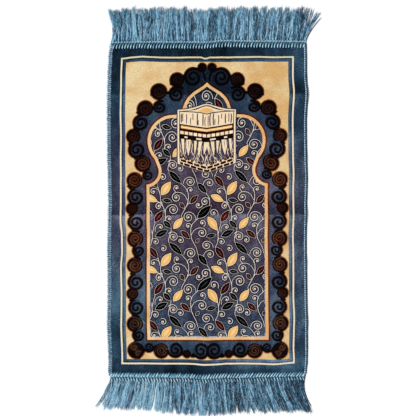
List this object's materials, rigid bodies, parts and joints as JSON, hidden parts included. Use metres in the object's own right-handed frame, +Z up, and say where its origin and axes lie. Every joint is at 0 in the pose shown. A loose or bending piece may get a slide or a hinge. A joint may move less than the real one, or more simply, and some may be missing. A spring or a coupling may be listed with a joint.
{
  "type": "prayer rug",
  "caption": "Small velvet prayer rug lying flat, with a niche pattern inside a border, soft fold creases, overlocked sides and a yarn fringe along each end.",
  "frame": {"origin": "on the floor under the middle of the cloth, which is the middle of the base of the box to within a few millimetres", "axes": "+Z up out of the floor, +Y along the rug towards the end where the niche points, +X to the right when facing that end"},
  "size_m": [0.7232, 1.3215, 0.0103],
  "materials": {
    "velvet": "short dense pile, dark blue ground with gold, cream, rust and black pattern",
    "overlock_thread": "blue overlock stitches over a bare selvedge",
    "fringe_yarn": "soft light blue yarn with a slight lustre"
  },
  "bodies": {
    "root": {"rug_cloth": "velvet", "binding_left": "overlock_thread", "binding_right": "overlock_thread", "fringe_far": "fringe_yarn", "fringe_near": "fringe_yarn"}
  },
  "joints": []
}
